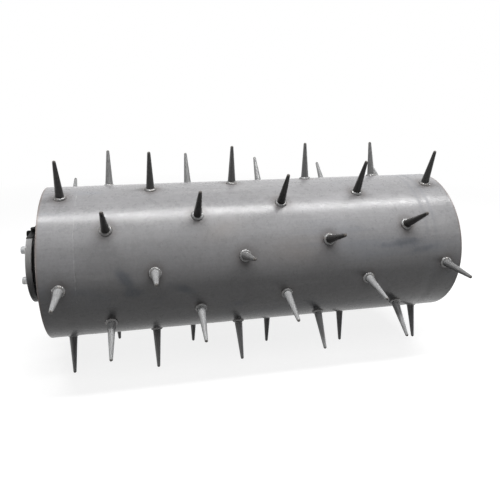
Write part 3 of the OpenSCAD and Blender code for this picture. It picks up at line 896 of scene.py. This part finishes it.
# %% Drawn spike steel
def spike_steel():
    """Lines in two greys, both set by the bar's painted light and shade, under a darker tip."""
    material, tree, shader = new_material("spike_steel", metallic=0.0, specular=0.26)
    lines = noise(tree, uv_place(tree, (22, 0.2, 1)), 1.0, 2.0, 0.6)
    patches = noise(tree, object_place(tree), 45.0)
    painted_light = mark(tree, "bar_painted_light")
    # The bar's painted light picks each grey: nearly black as painted shade on bars that stand up,
    # light grey on bars that point forwards.
    valleys = blend(tree, painted_light, grey(0.012, 0.06), grey(0.27))
    ridges = blend(tree, painted_light, grey(0.04, 0.05), grey(0.36, -0.01))
    colour = blend(tree, spread(tree, lines, 0.2, 0.8), valleys, ridges)
    tip = spread(tree, uv_along(tree), 0.72, 0.80, 0.0, 0.8)
    colour = blend(tree, tip, colour, grey(0.10, 0.12))
    link_surface(tree, shader, colour, spread(tree, patches, 0.3, 0.7, 0.24, 0.34))
    bump(tree, shader, lines, 0.08 * MM, 0.4)
    return material


paint(spikes, spike_steel())


# %% Weld metal
def weld_metal():
    """Blobs in two greys and brown patches. The toe, the first sixth of the section, is painted nearly
    black as shade.
    """
    material, tree, shader = new_material("weld_metal", metallic=0.04, specular=0.9)
    place = object_place(tree)
    blobs = noise(tree, place, 330.0, 3.0, 0.6)
    heat = spread(tree, noise(tree, place, 120.0, 2.0), 0.5, 0.7, 0.0, 0.5)
    # The toe is painted nearly black as the shade in the crease against the shell.
    toe = spread(tree, uv_along(tree), 0.04, 0.17, 0.85, 0.0)
    colour = layered(tree, grey(0.08), (spread(tree, blobs, 0.35, 0.65), grey(0.24)),
                     (heat, (0.20, 0.16, 0.13, 1)), (toe, (0.035, 0.03, 0.028, 1)))
    link_surface(tree, shader, colour, spread(tree, blobs, 0.3, 0.7, 0.14, 0.28))
    bump(tree, shader, blobs, 0.3 * MM, 0.5)
    return material


paint([beads, *fillets], weld_metal())

# %% [markdown]
# ## Turned, ground and plated steel
# A lathe leaves fine grooves: rings on a face, circles round a rim. Anisotropic gloss could stand
# for them, but drawn grooves show where the tool went. Along each groove the distance from the axle
# plus the place along it is constant, so one noise of that sum serves faces and rims alike. Plated
# screws and washers have no grooves, but clouds of zinc.

# %% Turned finishes
def groove_lines(tree, pitch):
    """One-dimensional noise of the distance from the axle, the length of Y and Z together, plus the
    place along it, X. There is one groove per pitch."""
    place = object_place(tree)
    across = make(tree, "VectorMath", {0: place, 1: (0, 1, 1)}, operation="MULTIPLY").outputs[0]
    radius = make(tree, "VectorMath", {0: across}, operation="LENGTH").outputs["Value"]
    total = arithmetic(tree, "ADD", radius, make(tree, "SeparateXYZ", {0: place}).outputs["X"])
    inputs = {"W": total, "Scale": 1 / pitch, "Detail": 2.0, "Roughness": 0.6}
    return make(tree, "TexNoise", inputs, noise_dimensions="1D").outputs["Fac"]


def turned_finish(name, level, metallic, roughness, pitch, tint=0.0, stain=0.25, specular=0.5):
    """Steel off the lathe: grooves in the bump and the roughness, and faint stains in the colour."""
    material, tree, shader = new_material(name, metallic, specular)
    place = object_place(tree)
    lines = groove_lines(tree, pitch)
    stains = spread(tree, noise(tree, place, 28.0, 4.0, 0.6), 0.4, 0.75, 0.0, stain)
    colour = layered(tree, grey(level * 0.92, tint), (spread(tree, lines, 0.3, 0.7), grey(level, tint)),
                     (stains, grey(level * 0.55, 0.06)))
    gloss = spread(tree, lines, 0.25, 0.75, roughness - 0.05, roughness + 0.07)
    link_surface(tree, shader, colour, gloss)
    bump(tree, shader, lines, 0.02 * MM, 0.7)
    return material


def pieces_named(*words):
    """The shown CAD nodes whose names hold any of the words."""
    return [o for n, o in nodes.items() if any(w in n for w in words) and not o.hide_render]


flange_steel = turned_finish("flange_steel", 0.42, 0.0, 0.38, 0.5 * MM, specular=0.08)
turned_steel = turned_finish("turned_steel", 0.4, 0.7, 0.3, 0.4 * MM)
bearing_steel = turned_finish("bearing_steel", 0.5, 0.9, 0.16, 0.2 * MM, tint=-0.02, stain=0.1)
paint(pieces_named("mounting_flange"), flange_steel)
paint(pieces_named("axle", "spacer"), turned_steel)
paint(pieces_named("inner_ring", "outer_ring", "balls", "shields"), bearing_steel)


# %% Zinc plate
def zinc_plate():
    """Bluish and warm grey clouds, with a finer noise in the roughness and the bump."""
    material, tree, shader = new_material("zinc_plate", metallic=0.3)
    place = object_place(tree)
    clouds = spread(tree, noise(tree, place, 160.0, 3.0, 0.6), 0.35, 0.65)
    colour = blend(tree, clouds, (0.44, 0.46, 0.49, 1), (0.68, 0.67, 0.64, 1))
    link_surface(tree, shader, colour, spread(tree, noise(tree, place, 420.0), 0.3, 0.7, 0.22, 0.4))
    bump(tree, shader, noise(tree, place, 900.0), 0.03 * MM, 0.5)
    return material


paint(pieces_named("lock_washers", "end_washer", "end_screw") + screws, zinc_plate())

# %% [markdown]
# ## Castings, scale, oxide, rubber and brass
# The carrier is a sand casting under black paint, so it has soft lumps, with dust on them. The
# bulkheads and hubs keep the dark scale of hot rolling, brown where it rubbed off, and the retaining
# rings are as dark. The keeper bar, its screw and the keys are blackened, the seals are rubber and the
# cages brass. One plain colour each would do from afar, but close up wear and dust make them real.

# %% Black casting
def worn_finish(name, fresh, worn, gloss, pattern, most=1.0, metallic=0.0, specular=0.5):
    """Two colours and two values of roughness, mixed by a noise. The pattern holds its scale, detail
    and roughness and the two values between which the second colour rises to its largest share."""
    scale, detail, rough, low, high = pattern
    material, tree, shader = new_material(name, metallic, specular)
    share = spread(tree, noise(tree, object_place(tree), scale, detail, rough), low, high, 0.0, most)
    link_surface(tree, shader, blend(tree, share, fresh, worn), spread(tree, share, 0.0, most, *gloss))
    return material, tree, shader


def black_casting():
    """Nearly black, greyer and rougher where dust lies, over lumps."""
    material, tree, shader = worn_finish(
        "black_casting", grey(0.006), grey(0.022, 0.05), gloss=(0.24, 0.42),
        pattern=(35.0, 4.0, 0.65, 0.45, 0.8), most=0.3, specular=0.06)
    bump(tree, shader, noise(tree, object_place(tree), 240.0, 3.0, 0.5), 0.3 * MM, 0.5)
    return material


paint(pieces_named("carrier"), black_casting())


# %% Mill scale
def mill_scale():
    """Fine bluish specks, worn to brown and rougher in patches."""
    material, tree, shader = new_material("bare_steel", metallic=0.45)
    place = object_place(tree)
    wear = spread(tree, noise(tree, place, 22.0, 5.0, 0.65), 0.5, 0.68)
    fine = noise(tree, place, 520.0, 2.0)
    colour = layered(tree, grey(0.10, -0.05), (spread(tree, fine, 0.3, 0.7), grey(0.15, -0.03)),
                     (wear, (0.20, 0.16, 0.13, 1)))
    link_surface(tree, shader, colour, spread(tree, wear, 0.0, 1.0, 0.38, 0.6))
    bump(tree, shader, fine, 0.06 * MM, 0.5)
    return material


paint(pieces_named("bulkhead", "bearing_hub", "retaining_ring"), mill_scale())


# %% Black oxide
def black_oxide():
    """Nearly black, a little greyer and rougher where it is worn."""
    material, tree, shader = worn_finish(
        "black_oxide", grey(0.008, -0.03), grey(0.03, 0.04), gloss=(0.34, 0.48),
        pattern=(90.0, 4.0, 0.6, 0.55, 0.75), most=0.5, specular=0.04)
    bump(tree, shader, noise(tree, object_place(tree), 700.0), 0.03 * MM, 0.6)
    return material


def blacken_top_screw(piece, material):
    """Gives the highest of the six screws, next to the keeper bar, the second material. The faces of
    each copy follow one another in the mesh."""
    mesh = piece.data
    top = corner_array(piece).reshape(SCREW_COUNT, -1, 3)[..., 2].mean(1).argmax()
    mesh.materials.append(material)
    share = len(mesh.polygons) // SCREW_COUNT
    index = np.repeat(np.arange(SCREW_COUNT) == top, share).astype(np.int32)
    mesh.polygons.foreach_set("material_index", index)


oxide = black_oxide()
paint(pieces_named("keeper", "axle_key"), oxide)
for piece in screws:
    blacken_top_screw(piece, oxide)


# %% Rubber and brass
def seal_rubber():
    """Dark rubber with fine grooves, smoother and browner where there is grease."""
    material, tree, shader = worn_finish(
        "seal_rubber", grey(0.02), grey(0.03, 0.08), gloss=(0.7, 0.35),
        pattern=(60.0, 3.0, 0.55, 0.5, 0.7), specular=0.35)
    bump(tree, shader, groove_lines(tree, 0.9 * MM), 0.08 * MM, 0.5)
    return material


def cage_brass():
    """Yellow brass with browner, duller clouds and fine grooves."""
    material, tree, shader = worn_finish(
        "cage_brass", (0.72, 0.52, 0.22, 1), (0.55, 0.38, 0.15, 1), gloss=(0.24, 0.4),
        pattern=(130.0, 3.0, 0.55, 0.35, 0.7), metallic=1.0)
    bump(tree, shader, groove_lines(tree, 0.3 * MM), 0.02 * MM, 0.6)
    return material


paint(pieces_named("shaft_seal"), seal_rubber())
paint(pieces_named("ball_cage"), cage_brass())

# %% [markdown]
# ## Floor and world
# A product photograph on white needs a floor that is white to the camera and still takes a shadow.
# A lit plane alone would show a horizon. Here the floor is pale close to the roller and turns into
# plain white further out, and steel mirrors the same white. It gives hardly any diffuse light back,
# so that the drum keeps its dark underside.

# %% Floor
FLOOR_HALF = 30.0
WHITE_FROM = 0.9        # metres from the middle, where the floor starts to turn white
WHITE_TO = 2.6
FLOOR_PALE = 0.30       # takes the shadow
FLOOR_LIFT = 0.83       # a glow that brings it up to white
FLOOR_DIM = 0.01


def seen_directly(tree):
    """1 for rays from the camera, from gloss and through glass, and 0 for diffuse light."""
    path = make(tree, "LightPath").outputs
    both = arithmetic(tree, "MAXIMUM", path["Is Camera Ray"], path["Is Glossy Ray"])
    return arithmetic(tree, "MAXIMUM", both, path["Is Transmission Ray"])


def floor_white():
    """Pale with a glow near the roller and plain white beyond, but dim for diffuse light."""
    material = bpy.data.materials.new("floor_white")
    material.use_nodes = True
    tree = material.node_tree
    tree.nodes.remove(tree.nodes["Principled BSDF"])
    reach = make(tree, "VectorMath", {0: object_place(tree)}, operation="LENGTH").outputs["Value"]
    far = spread(tree, reach, WHITE_FROM, WHITE_TO)
    pale = make(tree, "BsdfDiffuse", {"Color": grey(FLOOR_PALE)}).outputs[0]
    lift = make(tree, "Emission", {"Color": grey(1.0), "Strength": FLOOR_LIFT}).outputs[0]
    near = make(tree, "AddShader", {0: pale, 1: lift}).outputs[0]
    white = make(tree, "Emission", {"Color": grey(1.0), "Strength": 1.0}).outputs[0]
    shown = make(tree, "MixShader", {0: far, 1: near, 2: white}).outputs[0]
    dim = make(tree, "BsdfDiffuse", {"Color": grey(FLOOR_DIM)}).outputs[0]
    final = make(tree, "MixShader", {0: seen_directly(tree), 1: dim, 2: shown}).outputs[0]
    tree.links.new(final, tree.nodes["Material Output"].inputs["Surface"])
    return material


def add_floor():
    """A large square that just touches the lowest point of the CAD model."""
    square = ((-1, -1), (1, -1), (1, 1), (-1, 1))
    corners = [(x * FLOOR_HALF, y * FLOOR_HALF, cad_low.z) for x, y in square]
    mesh = bpy.data.meshes.new("floor")
    mesh.from_pydata(corners, [], [(0, 1, 2, 3)])
    mesh.materials.append(floor_white())
    floor = add_object("floor", mesh)
    return floor


print(add_floor().name, "at", round(cad_low.z, 4))


# %% World
def set_world(level):
    """White where it is seen, and a weak grey level for the diffuse light that it gives."""
    world = bpy.data.worlds.new("studio")
    bpy.context.scene.world = world
    world.use_nodes = True
    tree = world.node_tree
    shine = tree.nodes["Background"]
    shine.inputs["Color"].default_value = (1, 1, 1, 1)
    strength = spread(tree, seen_directly(tree), 0.0, 1.0, level, 1.0)
    tree.links.new(strength, shine.inputs["Strength"])
    return world


print("world:", set_world(level=0.015).name)

# %% [markdown]
# ## The lamps
# The long highlight on the drum is the image of a lamp overhead. A round lamp would make a spot, so
# the strip lamp is three times as long as the drum, and its width sets how soft the highlight is. A
# wide weak panel fills the front, and a square lamp at each end lights the flanges and bulkheads.

# %% Lamps
LAMP_X = 0.3                # metres; the long lamps stand a little to the right
LAMP_DISTANCE = 1.9
LAMP_LENGTH = 2.7
END_LAMP_X = 2.2
END_LAMP_Z = 0.1
END_LAMP_SIZE = (0.7, 0.7)


def add_lamp(name, place, aim, size, radiance):
    """A rectangle of light at a place. An unturned one shines down, and aim turns it. Its power in
    watts is its radiance times its area times pi."""
    data = bpy.data.lights.new(name, "AREA")
    data.shape = "RECTANGLE"
    data.size, data.size_y = size
    data.energy = radiance * size[0] * size[1] * math.pi
    lamp = add_object(name, data)
    lamp.location = place
    lamp.rotation_euler = aim
    print(f"{name}: {data.energy:.0f} W")
    return lamp


def add_long_lamp(name, elevation, width, radiance):
    """A lamp along the drum, at an angle above the front, that faces the axle."""
    angle = math.radians(elevation)
    place = (LAMP_X, -LAMP_DISTANCE * math.cos(angle), LAMP_DISTANCE * math.sin(angle))
    return add_lamp(name, place, (math.pi / 2 - angle, 0, 0), (LAMP_LENGTH, width), radiance)


def add_end_lamp(name, side, radiance):
    """A square lamp near the axle's line that faces one end and hardly reaches the drum's side."""
    place = (side * END_LAMP_X, 0, END_LAMP_Z)
    return add_lamp(name, place, (0, side * math.pi / 2, 0), END_LAMP_SIZE, radiance)


add_long_lamp("strip_lamp", elevation=81.5, width=0.22, radiance=30)
add_long_lamp("front_panel", elevation=55, width=0.9, radiance=1.35)
add_end_lamp("left_end_lamp", side=-1, radiance=8)
add_end_lamp("right_end_lamp", side=1, radiance=8)

# %% Plain colour management
bpy.context.scene.view_settings.view_transform = "Standard"
print("view transform:", bpy.context.scene.view_settings.view_transform)
